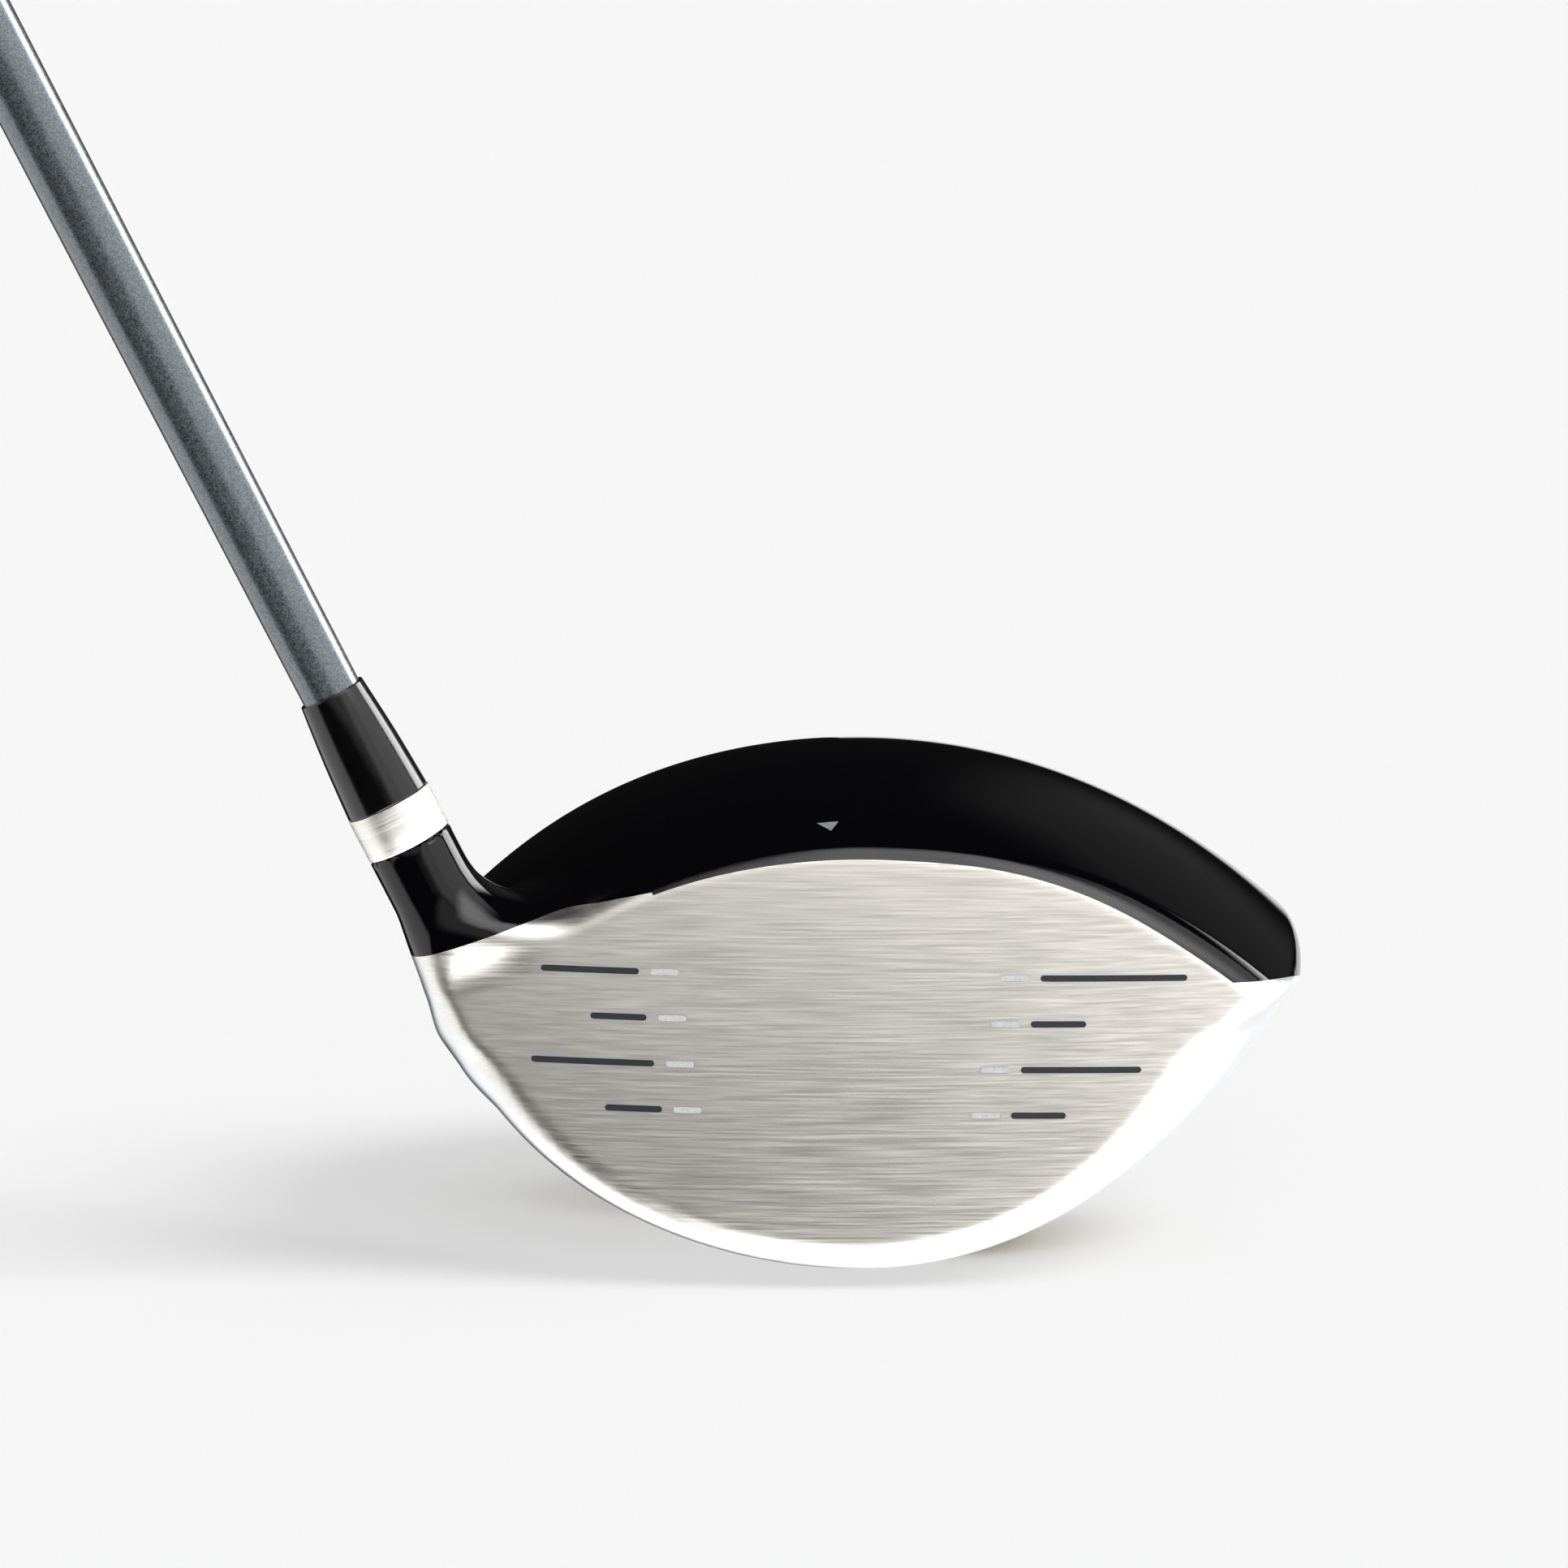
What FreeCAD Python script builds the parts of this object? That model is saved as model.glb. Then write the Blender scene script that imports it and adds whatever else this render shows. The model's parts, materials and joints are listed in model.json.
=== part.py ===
"""Left-handed golf driver: hollow titanium head, hosel, ferrule, tapered shaft and grip.

Head coordinates, used while modelling: the ground is z = 0, x runs from heel to toe, y from
the face to the back, and x = y = 0 is under the centre of the face. The finished solids are
then moved so that the origin is the middle of the grip, where the club is held.
"""
import FreeCAD, Part
import math
import os

from FreeCAD import Vector

# ---------------------------------------------------------------- driving dimensions (mm)
LIE_DEG = 63.2            # shaft to ground
LOFT_DEG = 10.5           # face to vertical
SCORING_TILT_DEG = 0.9    # score lines dip towards the toe by this much
CLUB_LENGTH = 1143.0      # 45 in, ground to butt along the shaft
AXIS_X, AXIS_Y = -32.7, 14.0    # where the shaft axis meets the ground

# Outer form of the head: z = height - side(x) - fore_aft(y) above, side(x) + fore_aft(y) below.
CROWN_HEIGHT = 68.2
CROWN_CREST_Y = 45.0
CROWN_FORE_AFT = (0.0060, 0.0069, 6.8e-5)    # square terms before and behind the crest, cube term behind
CROWN_SIDE_TOE = (0.0060, 2.0e-7)        # square and fourth-power terms
# The crown's front edge is fuller towards the toe.
TOE_LIFT, TOE_LIFT_START, TOE_LIFT_RUN = 2.2, 3.0, 37.0
CROWN_SIDE_HEEL = (0.0055, 5.5e-7)
SOLE_CONTACT_Y = 25.0
SOLE_FORE_AFT = 0.0032
SOLE_SIDE_TOE = (0.0094, 1.0e-7, 0.0)    # square, fourth- and eighth-power terms
SOLE_SIDE_HEEL = (0.0068, 4.0e-7, 4.8e-14)

FACE_CENTRE_Z = 28.0
BULGE_RADIUS = 300.0      # face curve, heel to toe
ROLL_RADIUS = 300.0       # face curve, crown to sole
FACE_WALL = 2.8
CROWN_WALL = 0.9
SOLE_WALL = 1.1
RIM_RADIUS = 4.0          # where crown and skirt meet
FACE_EDGE_RADIUS = 9.0    # where face and sole meet
WELD_GAP = 0.05           # between shells that are welded or bonded edge to edge

# The seam between the black crown and the bright skirt, as (y, z) seen from the side.
SEAM_POINTS = ((-15.0, 41.5), (4.0, 41.2), (14.0, 40.4), (25.0, 38.6), (36.0, 36.2),
               (75.0, 27.5), (125.0, 14.0))
HEEL_SEAM = ((-62.0, 44.0), (-48.0, 48.7))    # (x, z) of the neck's lower edge
HEEL_SEAM_BACK = 22.0                         # y where that edge ends
HEEL_SEAM_REACH = 14.0                        # how far it runs on over the face

# Hosel, along the shaft axis from the ground.
TUBE_START, NECK_TOP = 30.5, 66.7
NECK_TOP_RADIUS, HEEL_RADIUS = 6.15, 8.0
# The hosel's form below its top: distance up the axis, radius.
HEEL_PROFILE = ((26, 3), (30, 7), (32, HEEL_RADIUS), (60, NECK_TOP_RADIUS + 0.1))
NECK_FILLET = 8.0
NECK_ZONE = (40.0, 13.5)     # start and radius of the piece that is the neck
BORE_RADIUS = 4.35
TUBE_RADIUS = 5.5
BORE_STOP = (31.5, 34.0)

RING_LENGTH = 6.5
RING_RADIUS = 6.15
FERRULE_LENGTH = 17.2
FERRULE_RADII = (6.08, 4.8)

SLEEVE_RADIUS = 5.1       # ferrule sleeve that the ring sits on
FERRULE_LIP = 0.4

SHAFT_START = 34.5
SHAFT_TIP_RADIUS = 4.25
SHAFT_TIP_PARALLEL = 62.0
SHAFT_BUTT_RADIUS = 7.62
SHAFT_WALL = 1.3
TIP_WEIGHT_LENGTH = 22.0

GRIP_LENGTH = 267.0
GRIP_MOUTH_RADIUS, GRIP_BUTT_RADIUS = 9.4, 13.4
MOUTH_BEAD = (2.5, 10.0)  # length and radius of the bead at the grip's mouth
TAPE_THICKNESS = 0.3
CAP_RADIUS, CAP_THICKNESS = 15.2, 3.4
CAP_EDGE_RADIUS = 1.2
VENT_RADIUS = 1.5
HOLD_FROM_BUTT = 130.0    # middle of the hands
FIT_GAP = 0.02            # between glued tubes

# Score lines: four rows on each side of a clear middle. From the middle outwards, a row is a
# short white line, a gap and a dark line, and each row steps towards the middle going down.
TOP_ROW_Z, ROW_PITCH = 42.6, 6.2
SCORE_WIDTH, INK_DEPTH = 0.8, 0.4
SCORE_SIDES = {
    "toe": {"start": 19.3, "step": -1.37, "white": 4.0, "gap": 1.5, "dark": (20.4, 7.7, 16.7, 7.6)},
    "heel": {"start": -25.3, "step": 1.07, "white": -3.9, "gap": -1.6, "dark": (-13.6, -7.8, -17.1, -7.9)},
}

# The grey triangle on the crown that lines up the face: (x, y) corners.
ALIGNMENT_MARK = ((-6.1, 14.0), (-3.15, 14.2), (-4.15, 12.0))
MARK_DEPTH = 0.2

# Swing weight at the back of the sole: a slug held by an M6 screw in a welded port.
WEIGHT_X, WEIGHT_Y = 2.0, 86.0
PORT_RADIUS, PORT_DEPTH = 11.5, 17.5
SLUG_RADIUS, SLUG_RECESS_RADIUS = 9.0, 9.3
SLUG_FACE, SLUG_SEAT = 1.3, 7.0             # depths below the sole
SCREW_RADIUS, SCREW_HEAD_RADIUS = 3.0, 5.0
HEAD_FACE, HEAD_SEAT, SCREW_TIP = 1.6, 4.4, 15.5
SOCKET_WIDTH, SOCKET_DEPTH = 4.0, 2.0
RUNNING_GAP = 0.06

# Loose mass inside the head: (x, y, radius, thickness) of a welded pad and a pool of hot glue.
MASS_PAD = (-24.0, 58.0, 13.0, 2.4)
GLUE_POOL = (17.0, 32.0, 14.0, 1.6)

AXIS = Vector(-math.cos(math.radians(LIE_DEG)), 0, math.sin(math.radians(LIE_DEG)))
AXIS_FOOT = Vector(AXIS_X, AXIS_Y, 0)
HOLD_POINT = AXIS_FOOT + AXIS * (CLUB_LENGTH - HOLD_FROM_BUTT)
UP = Vector(0, 0, 1)


# ---------------------------------------------------------------- form of the head
def crown_z(x, y):
    side = CROWN_SIDE_TOE if x > 0 else CROWN_SIDE_HEEL
    back = y - CROWN_CREST_Y
    front, rear, cubic = CROWN_FORE_AFT
    fore_aft = (front if back < 0 else rear) * back ** 2 + cubic * max(back, 0.0) ** 3
    reach = min(max((x - TOE_LIFT_START) / TOE_LIFT_RUN, 0), 1)
    lift = TOE_LIFT * reach ** 2 * (3 - 2 * reach) * (min(back, 0) / CROWN_CREST_Y) ** 2
    return CROWN_HEIGHT - side[0] * x ** 2 - side[1] * x ** 4 - fore_aft + lift


def sole_z(x, y):
    side = SOLE_SIDE_TOE if x > 0 else SOLE_SIDE_HEEL
    fore_aft = SOLE_FORE_AFT * (y - SOLE_CONTACT_Y) ** 2
    return side[0] * x ** 2 + side[1] * x ** 4 + side[2] * x ** 8 + fore_aft


def face_y(x, z):
    rise = z - FACE_CENTRE_Z
    lean = math.tan(math.radians(LOFT_DEG)) * rise
    return lean + x ** 2 / (2 * BULGE_RADIUS) + rise ** 2 / (2 * ROLL_RADIUS)


def spread(low, high, count):
    return [low + (high - low) * i / (count - 1) for i in range(count)]


def surface(point, u_range, v_range, count=25):
    """A smooth face through point(u, v) on a square grid."""
    grid = [[point(u, v) for v in spread(*v_range, count)] for u in spread(*u_range, count)]
    patch = Part.BSplineSurface()
    patch.interpolate(grid)
    return patch.toShape()


HEAD_X, HEAD_Y, HEAD_Z = (-74.0, 74.0), (-20.0, 118.0), (-8.0, 78.0)
REACH = 150.0


def below_crown(inset):
    return surface(lambda x, y: Vector(x, y, crown_z(x, y) - inset), HEAD_X, HEAD_Y).extrude(UP * -REACH)


def above_sole(inset):
    return surface(lambda x, y: Vector(x, y, sole_z(x, y) + inset), HEAD_X, HEAD_Y).extrude(UP * REACH)


def behind_face(inset):
    face = surface(lambda x, z: Vector(x, face_y(x, z) + inset, z), HEAD_X, HEAD_Z)
    return face.extrude(Vector(0, REACH, 0))


def below_seam(drop):
    """Everything under the crown seam, which runs the same at every x."""
    seam = Part.BSplineCurve()
    seam.interpolate([Vector(HEAD_X[0], y, z - drop) for y, z in SEAM_POINTS])
    return seam.toShape().extrude(Vector(HEAD_X[1] - HEAD_X[0], 0, 0)).extrude(UP * -REACH)


def below_heel_seam(drop, beyond=HEEL_SEAM_REACH):
    """Everything at the heel under the neck's slanting lower edge, to a distance beyond its end."""
    (x0, z0), (x1, z1) = HEEL_SEAM
    slope = (z1 - z0) / (x1 - x0)
    left, right = x0 - 20, x1 + beyond
    top = [Vector(x, HEAD_Y[0], z0 + slope * (x - x0) - drop) for x in (left, right)]
    floor = [Vector(right, HEAD_Y[0], -30), Vector(left, HEAD_Y[0], -30)]
    outline = Part.makePolygon(top + floor + top[:1])
    return Part.Face(outline).extrude(Vector(0, HEEL_SEAM_BACK - HEAD_Y[0], 0))


def under_paint(drop):
    """Everything below the edge of the black paint, except on the face."""
    return below_seam(drop).fuse(below_heel_seam(drop, 1))


def turned(corners):
    """Solid of revolution about the shaft axis; a corner is (distance from the ground, radius)."""
    points = [Vector(r, 0, s) for s, r in corners]
    outline = Part.makePolygon(points + points[:1])
    return along(Part.Face(outline).revolve(Vector(0, 0, 0), UP, 360), AXIS_FOOT, AXIS)


def tube(start, end, outer_radius, inner_radius):
    """A plain tube about the shaft axis."""
    return turned([(start, inner_radius), (start, outer_radius), (end, outer_radius), (end, inner_radius)])


def rod(start, end, radius):
    return tube(start, end, radius, 0)


def along(solid, foot, direction):
    """Move a solid made along +Z so that it runs along a direction from a foot."""
    moved = solid.copy()
    moved.Placement = FreeCAD.Placement(foot, FreeCAD.Rotation(UP, direction))
    return moved


def largest(shape):
    return max(shape.Solids, key=lambda solid: solid.Volume)


# ---------------------------------------------------------------- head shells
def front_edges(shape, face_inset):
    """Edges round the face, lowest first."""
    front = [edge for edge in shape.Edges if edge.CenterOfMass.y < 10 + face_inset]
    return sorted(front, key=lambda edge: edge.CenterOfMass.z)


def head_form(crown_inset, sole_inset, face_inset):
    """Crown, sole and face surfaces, moved inwards, meeting in rounded edges."""
    sharp = below_crown(crown_inset).common(above_sole(sole_inset)).common(behind_face(face_inset))
    soft = sharp.makeFillet(FACE_EDGE_RADIUS - sole_inset, front_edges(sharp, face_inset)[:1])
    return soft.makeFillet(RIM_RADIUS - crown_inset, front_edges(soft, face_inset)[-1:])


def heel_form():
    """The hosel from its top down the heel, rounded off inside the skirt."""
    return turned([(HEEL_PROFILE[0][0], 0), *HEEL_PROFILE, (NECK_TOP, NECK_TOP_RADIUS), (NECK_TOP, 0)])


def faired(body):
    """The body with a fillet where the hosel meets the crown."""
    junction = [edge for edge in body.Edges
                if edge.CenterOfMass.z > 38 and 3 < distance_from_axis(edge.CenterOfMass) < HEEL_RADIUS]
    return body.makeFillet(NECK_FILLET, [max(junction, key=lambda edge: edge.Length)])


def distance_from_axis(point):
    return (point - AXIS_FOOT).cross(AXIS).Length


def head_shells():
    """Face, crown, sole and neck, which are welded edge to edge round one hollow."""
    outer = head_form(0, 0, 0)
    inner = head_form(CROWN_WALL, SOLE_WALL, FACE_WALL)
    body = faired(outer.fuse(heel_form()))
    tube_hole = rod(TUBE_START - WELD_GAP, NECK_TOP + 5, TUBE_RADIUS + WELD_GAP)
    neck_start, neck_radius = NECK_ZONE
    neck_zone = rod(neck_start, NECK_TOP + 5, neck_radius)
    face_front = below_crown(CROWN_WALL + WELD_GAP).cut(behind_face(FACE_WALL))
    face_space = below_crown(CROWN_WALL).cut(behind_face(FACE_WALL + WELD_GAP))
    skin = body.cut(inner).cut(tube_hole)

    neck = skin.common(neck_zone).cut(below_heel_seam(0)).cut(below_seam(0))
    neck_space = rod(neck_start, NECK_TOP + 5, neck_radius + WELD_GAP).cut(below_heel_seam(-WELD_GAP))
    face = outer.common(face_front).cut(neck_zone.cut(below_heel_seam(WELD_GAP))).cut(tube_hole)
    crown = skin.cut(face_space).cut(under_paint(0)).cut(neck_space)
    sole = skin.cut(face_space).common(under_paint(WELD_GAP))
    return [largest(shell) for shell in (face, crown, sole, neck.cut(crown))]


# ---------------------------------------------------------------- face and crown details
def rounded_slot(start, end, height):
    """A bar with round ends, run right through the head from front to back."""
    low, high = min(start, end) + SCORE_WIDTH / 2, max(start, end) - SCORE_WIDTH / 2
    bar = Part.makeBox(high - low, REACH, SCORE_WIDTH, Vector(low, HEAD_Y[0], height - SCORE_WIDTH / 2))
    ends = [Part.makeCylinder(SCORE_WIDTH / 2, REACH, Vector(x, HEAD_Y[0], height), Vector(0, 1, 0))
            for x in (low, high)]
    slot = bar.fuse(ends).removeSplitter()
    slot.rotate(Vector(0, 0, height), Vector(0, 1, 0), SCORING_TILT_DEG)
    return slot


def score_slots(colour):
    """The slots of one ink colour, on both sides of the face."""
    slots = []
    for side in SCORE_SIDES.values():
        for row, dark in enumerate(side["dark"]):
            start = side["start"] + row * side["step"]
            end = start + side["white"]
            if colour == "dark":
                start = end + side["gap"]
                end = start + dark
            slots.append(rounded_slot(start, end, TOP_ROW_Z - row * ROW_PITCH))
    return slots


def inked(face):
    """The face with its slots cut, and the dark and the white ink in them."""
    ink_layer = behind_face(RUNNING_GAP).cut(behind_face(INK_DEPTH))
    cut_layer = behind_face(-1).cut(behind_face(INK_DEPTH + FIT_GAP))
    inks = {}
    for colour in ("dark", "white"):
        slots = Part.makeCompound(score_slots(colour))
        face = face.cut(slots.common(cut_layer))
        inks[colour] = slots.common(ink_layer)
    return largest(face), inks["dark"], inks["white"]


def marked(crown):
    """The crown with the shallow pocket for the alignment mark, and the mark in it."""
    points = [Vector(x, y, 0) for x, y in ALIGNMENT_MARK]
    triangle = Part.Face(Part.makePolygon(points + points[:1])).extrude(UP * REACH)
    mark = triangle.common(below_crown(0)).cut(below_crown(MARK_DEPTH))
    pocket = triangle.cut(below_crown(MARK_DEPTH + FIT_GAP))
    return largest(crown.cut(pocket)), largest(mark)


# ---------------------------------------------------------------- swing weight
def weight_frame():
    """Where the weight's axis leaves the sole, and the way it points."""
    slope = 2 * SOLE_FORE_AFT * (WEIGHT_Y - SOLE_CONTACT_Y)
    outward = Vector(0, slope, -1).normalize()
    return Vector(WEIGHT_X, WEIGHT_Y, sole_z(WEIGHT_X, WEIGHT_Y)), outward


def sunk_rod(depth, top_depth, radius):
    """A rod on the weight's axis between two depths below the sole."""
    foot, outward = weight_frame()
    return Part.makeCylinder(radius, depth - top_depth, foot - outward * depth, outward)


def weight_port():
    block = sunk_rod(PORT_DEPTH, -5, PORT_RADIUS).common(above_sole(0))
    recess = sunk_rod(SLUG_SEAT, -6, SLUG_RECESS_RADIUS)
    return block.cut(recess).cut(sunk_rod(SCREW_TIP + 1, 0, SCREW_RADIUS + RUNNING_GAP))


def weight_slug():
    slug = sunk_rod(SLUG_SEAT - FIT_GAP, SLUG_FACE, SLUG_RADIUS)
    counterbore = sunk_rod(HEAD_SEAT + FIT_GAP, 0, SCREW_HEAD_RADIUS + RUNNING_GAP)
    slug = slug.cut(counterbore).cut(sunk_rod(SLUG_SEAT + 1, 0, SCREW_RADIUS + RUNNING_GAP))
    rim = max(slug.Edges, key=lambda edge: (round(edge.Length), -edge.CenterOfMass.z))
    return slug.makeChamfer(0.5, [rim])


def weight_screw():
    foot, outward = weight_frame()
    head = sunk_rod(HEAD_SEAT, HEAD_FACE, SCREW_HEAD_RADIUS)
    screw = head.fuse(sunk_rod(SCREW_TIP, HEAD_FACE, SCREW_RADIUS))
    corners = [Vector(math.cos(a), math.sin(a), 0) * (SOCKET_WIDTH / math.sqrt(3))
               for a in spread(0, 2 * math.pi, 7)]
    hexagon = Part.Face(Part.makePolygon(corners)).extrude(UP * (SOCKET_DEPTH + 1))
    return screw.cut(along(hexagon, foot - outward * (HEAD_FACE + SOCKET_DEPTH), outward))


def inner_mass(x, y, radius, thickness):
    """A layer of mass that lies on the inside of the sole."""
    post = Part.makeCylinder(radius, REACH, Vector(x, y, -10))
    layer = above_sole(SOLE_WALL + WELD_GAP).cut(above_sole(SOLE_WALL + WELD_GAP + thickness))
    return largest(post.common(layer))


# ---------------------------------------------------------------- shaft, ferrule and grip
def shaft_radius(distance):
    taper_start = SHAFT_START + SHAFT_TIP_PARALLEL
    along_taper = max(distance - taper_start, 0) / (CLUB_LENGTH - taper_start)
    return SHAFT_TIP_RADIUS + (SHAFT_BUTT_RADIUS - SHAFT_TIP_RADIUS) * along_taper


def sleeve(start, end, inner_offset, outer_offset):
    """A tube that follows the shaft's taper, offset from the shaft's surface."""
    stations = [start] + [s for s in (SHAFT_START + SHAFT_TIP_PARALLEL,) if start < s < end] + [end]
    outside = [(s, shaft_radius(s) + outer_offset) for s in stations]
    inside = [(s, shaft_radius(s) + inner_offset) for s in reversed(stations)]
    return turned(outside + inside)


def ferrule():
    start, end = NECK_TOP + RING_LENGTH + WELD_GAP, NECK_TOP + RING_LENGTH + FERRULE_LENGTH
    base, top = FERRULE_RADII
    hole = SHAFT_TIP_RADIUS + FIT_GAP
    return turned([(NECK_TOP + WELD_GAP, hole), (NECK_TOP + WELD_GAP, SLEEVE_RADIUS), (start, SLEEVE_RADIUS),
                   (start, base), (end - FERRULE_LIP, top), (end, top - FERRULE_LIP / 2), (end, hole)])


def grip_sleeve():
    start, end = CLUB_LENGTH - GRIP_LENGTH, CLUB_LENGTH - CAP_THICKNESS
    bead_length, bead_radius = MOUTH_BEAD
    hole = TAPE_THICKNESS + 2 * FIT_GAP
    return turned([(start, shaft_radius(start) + hole),
                   (start, bead_radius - 0.5), (start + 0.5, bead_radius),
                   (start + bead_length - 0.5, bead_radius), (start + bead_length, GRIP_MOUTH_RADIUS),
                   (end, GRIP_BUTT_RADIUS), (end, shaft_radius(end) + hole)])


def grip_cap():
    """The butt cap, a disc with rounded rims and a vent through it."""
    base, end = CLUB_LENGTH - CAP_THICKNESS + WELD_GAP, CLUB_LENGTH
    disc = rod(base, end, CAP_RADIUS)
    rims = [edge for edge in disc.Edges if abs(edge.Length - 2 * math.pi * CAP_RADIUS) < 0.1]
    return disc.makeFillet(CAP_EDGE_RADIUS, rims).cut(rod(base - 1, end + 1, VENT_RADIUS))


# ---------------------------------------------------------------- the whole club
def club():
    face, crown, sole, neck = head_shells()
    face, dark_ink, white_ink = inked(face)
    crown, mark = marked(crown)
    sole = largest(sole.cut(sunk_rod(PORT_DEPTH, -5, PORT_RADIUS + WELD_GAP)))
    grip_start = CLUB_LENGTH - GRIP_LENGTH
    shaft_end = CLUB_LENGTH - CAP_THICKNESS
    return {
        "face_plate": face,
        "crown_shell": crown,
        "sole_shell": sole,
        "hosel_neck": neck,
        "score_ink_dark": dark_ink,
        "score_ink_white": white_ink,
        "alignment_mark": mark,
        "hosel_tube": tube(TUBE_START, NECK_TOP, TUBE_RADIUS, BORE_RADIUS),
        "bore_stop": rod(*BORE_STOP, BORE_RADIUS - FIT_GAP),
        "weight_port": weight_port(),
        "weight_slug": weight_slug(),
        "weight_screw": weight_screw(),
        "swing_weight_pad": inner_mass(*MASS_PAD),
        "catch_glue": inner_mass(*GLUE_POOL),
        "shaft_tube": sleeve(SHAFT_START, shaft_end, -SHAFT_WALL, 0),
        "tip_weight": rod(SHAFT_START, SHAFT_START + TIP_WEIGHT_LENGTH,
                          SHAFT_TIP_RADIUS - SHAFT_WALL - FIT_GAP),
        "hosel_epoxy": tube(SHAFT_START, NECK_TOP, BORE_RADIUS - FIT_GAP, SHAFT_TIP_RADIUS + FIT_GAP),
        "ferrule_ring": tube(NECK_TOP + WELD_GAP, NECK_TOP + RING_LENGTH,
                             RING_RADIUS, SLEEVE_RADIUS + WELD_GAP),
        "ferrule": ferrule(),
        "grip_tape": sleeve(grip_start, shaft_end, FIT_GAP, TAPE_THICKNESS + FIT_GAP),
        "grip_sleeve": grip_sleeve(),
        "grip_cap": grip_cap(),
    }


def main():
    os.makedirs("parts", exist_ok=True)
    for name, solid in club().items():
        placed = solid.translated(HOLD_POINT * -1)
        placed.exportStep(f"parts/{name}.step")
        print(f"{name:18} solids {len(placed.Solids):3}  volume {placed.Volume:9.1f} mm3")


if __name__ == "__main__":
    main()
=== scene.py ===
"""Looks of a left-handed golf driver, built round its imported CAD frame."""

import json
import math

import bmesh
import bpy
import numpy as np
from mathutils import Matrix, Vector


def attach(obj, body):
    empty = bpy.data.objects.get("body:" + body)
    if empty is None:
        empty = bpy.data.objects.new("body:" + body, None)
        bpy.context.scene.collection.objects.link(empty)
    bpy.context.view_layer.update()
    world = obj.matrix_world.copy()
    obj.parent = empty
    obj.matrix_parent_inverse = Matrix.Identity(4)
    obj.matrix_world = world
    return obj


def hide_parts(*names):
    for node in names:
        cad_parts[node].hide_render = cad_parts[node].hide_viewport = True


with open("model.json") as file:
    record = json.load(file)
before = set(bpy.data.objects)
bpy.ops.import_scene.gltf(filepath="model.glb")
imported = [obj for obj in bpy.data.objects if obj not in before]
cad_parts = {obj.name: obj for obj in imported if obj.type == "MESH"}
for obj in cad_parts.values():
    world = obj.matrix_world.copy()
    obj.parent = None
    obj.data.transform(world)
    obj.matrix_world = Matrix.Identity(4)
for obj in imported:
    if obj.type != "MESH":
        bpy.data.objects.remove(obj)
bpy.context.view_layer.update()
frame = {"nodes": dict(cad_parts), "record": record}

# ------------------------------------------------------------------ places from the frame
MM = 0.001
mounts = {mount["name"]: mount for mount in frame["record"]["mounts"]}
AXIS = np.array(mounts["grip_hold"]["axis"])
SOLE_CONTACT_Y = 25.0
# Head coordinates are in millimetres: z up from the ground, x from heel to toe, y from face to back.
HEAD_ORIGIN = np.array(mounts["sole_rest"]["pos_m"]) - np.array([0, SOLE_CONTACT_Y * MM, 0])
AXIS_FOOT = np.array([-32.7, 14.0, 0.0])      # where the shaft's axis meets the ground

# ------------------------------------------------------------------ form of the head
LOFT = math.radians(10.5)
SCORING_TILT = math.radians(0.9)
CROWN_HEIGHT, CROWN_CREST_Y = 68.2, 45.0
CROWN_FORE_AFT = (0.0060, 0.0069, 6.8e-5)     # towards the face, and towards the back
CROWN_SIDE = {"toe": (0.0060, 2.0e-7), "heel": (0.0055, 5.5e-7)}
TOE_LIFT = 2.2                                # the crown's front edge is fuller towards the toe
SOLE_FORE_AFT = 0.0032
SOLE_SIDE = {"toe": (0.0094, 1.0e-7, 0.0), "heel": (0.0068, 4.0e-7, 4.8e-14)}
FACE_CENTRE_Z, FACE_RADIUS = 28.0, 300.0
LEADING_RADIUS = 4.0                          # face to sole, in the middle
HEEL_RADIUS, TOE_RADIUS = 3.0, 17.0           # what the same edge gains towards heel and toe
TOP_EDGE_RADIUS, TOE_EDGE_RADIUS, RIM_RADIUS = 1.5, 2.8, 4.0   # crown to face, at its toe end, to skirt
NECK_BLEND = (6.0, 12.0)                      # low in the heel, and where the neck meets the crown
NECK_TOP = 66.7
HEEL_PROFILE = ((36.0, 41.0, 47.0, 58.7), (5.4, 6.9, 7.2, 6.15))   # up the axis, radius of the hosel's form
NECK_STANDS_OUT = 7.0                         # in front of the face plane, above the heel
HEEL_LINE = ((-62.2, -47.8, -41.0, -34.0, -29.0), (43.9, 48.8, 50.9, 52.6, 53.7))   # x, z of the paint's edge
CELL = 0.7             # grid pitch of the head's mesh
WALL = 0.9


def crown_z(x, y):
    toe, heel = CROWN_SIDE["toe"], CROWN_SIDE["heel"]
    side = np.where(x > 0, toe[0] * x ** 2 + toe[1] * x ** 4, heel[0] * x ** 2 + heel[1] * x ** 4)
    back = y - CROWN_CREST_Y
    front, rear, cubic = CROWN_FORE_AFT
    fore_aft = np.where(back < 0, front * back ** 2, rear * back ** 2 + cubic * np.maximum(back, 0) ** 3)
    lift = TOE_LIFT * smooth((x - 3) / 37) * (np.minimum(back, 0) / CROWN_CREST_Y) ** 2
    return CROWN_HEIGHT - side - fore_aft + lift


def sole_z(x, y):
    toe, heel = SOLE_SIDE["toe"], SOLE_SIDE["heel"]
    side = np.where(x > 0, toe[0] * x ** 2 + toe[1] * x ** 4,
                    heel[0] * x ** 2 + heel[1] * x ** 4 + heel[2] * x ** 8)
    return side + SOLE_FORE_AFT * (y - SOLE_CONTACT_Y) ** 2


def face_y(x, z):
    rise = z - FACE_CENTRE_Z
    return math.tan(LOFT) * rise + (x ** 2 + rise ** 2) / (2 * FACE_RADIUS)


def smooth(t):
    t = np.clip(t, 0, 1)
    return t * t * (3 - 2 * t)


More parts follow.
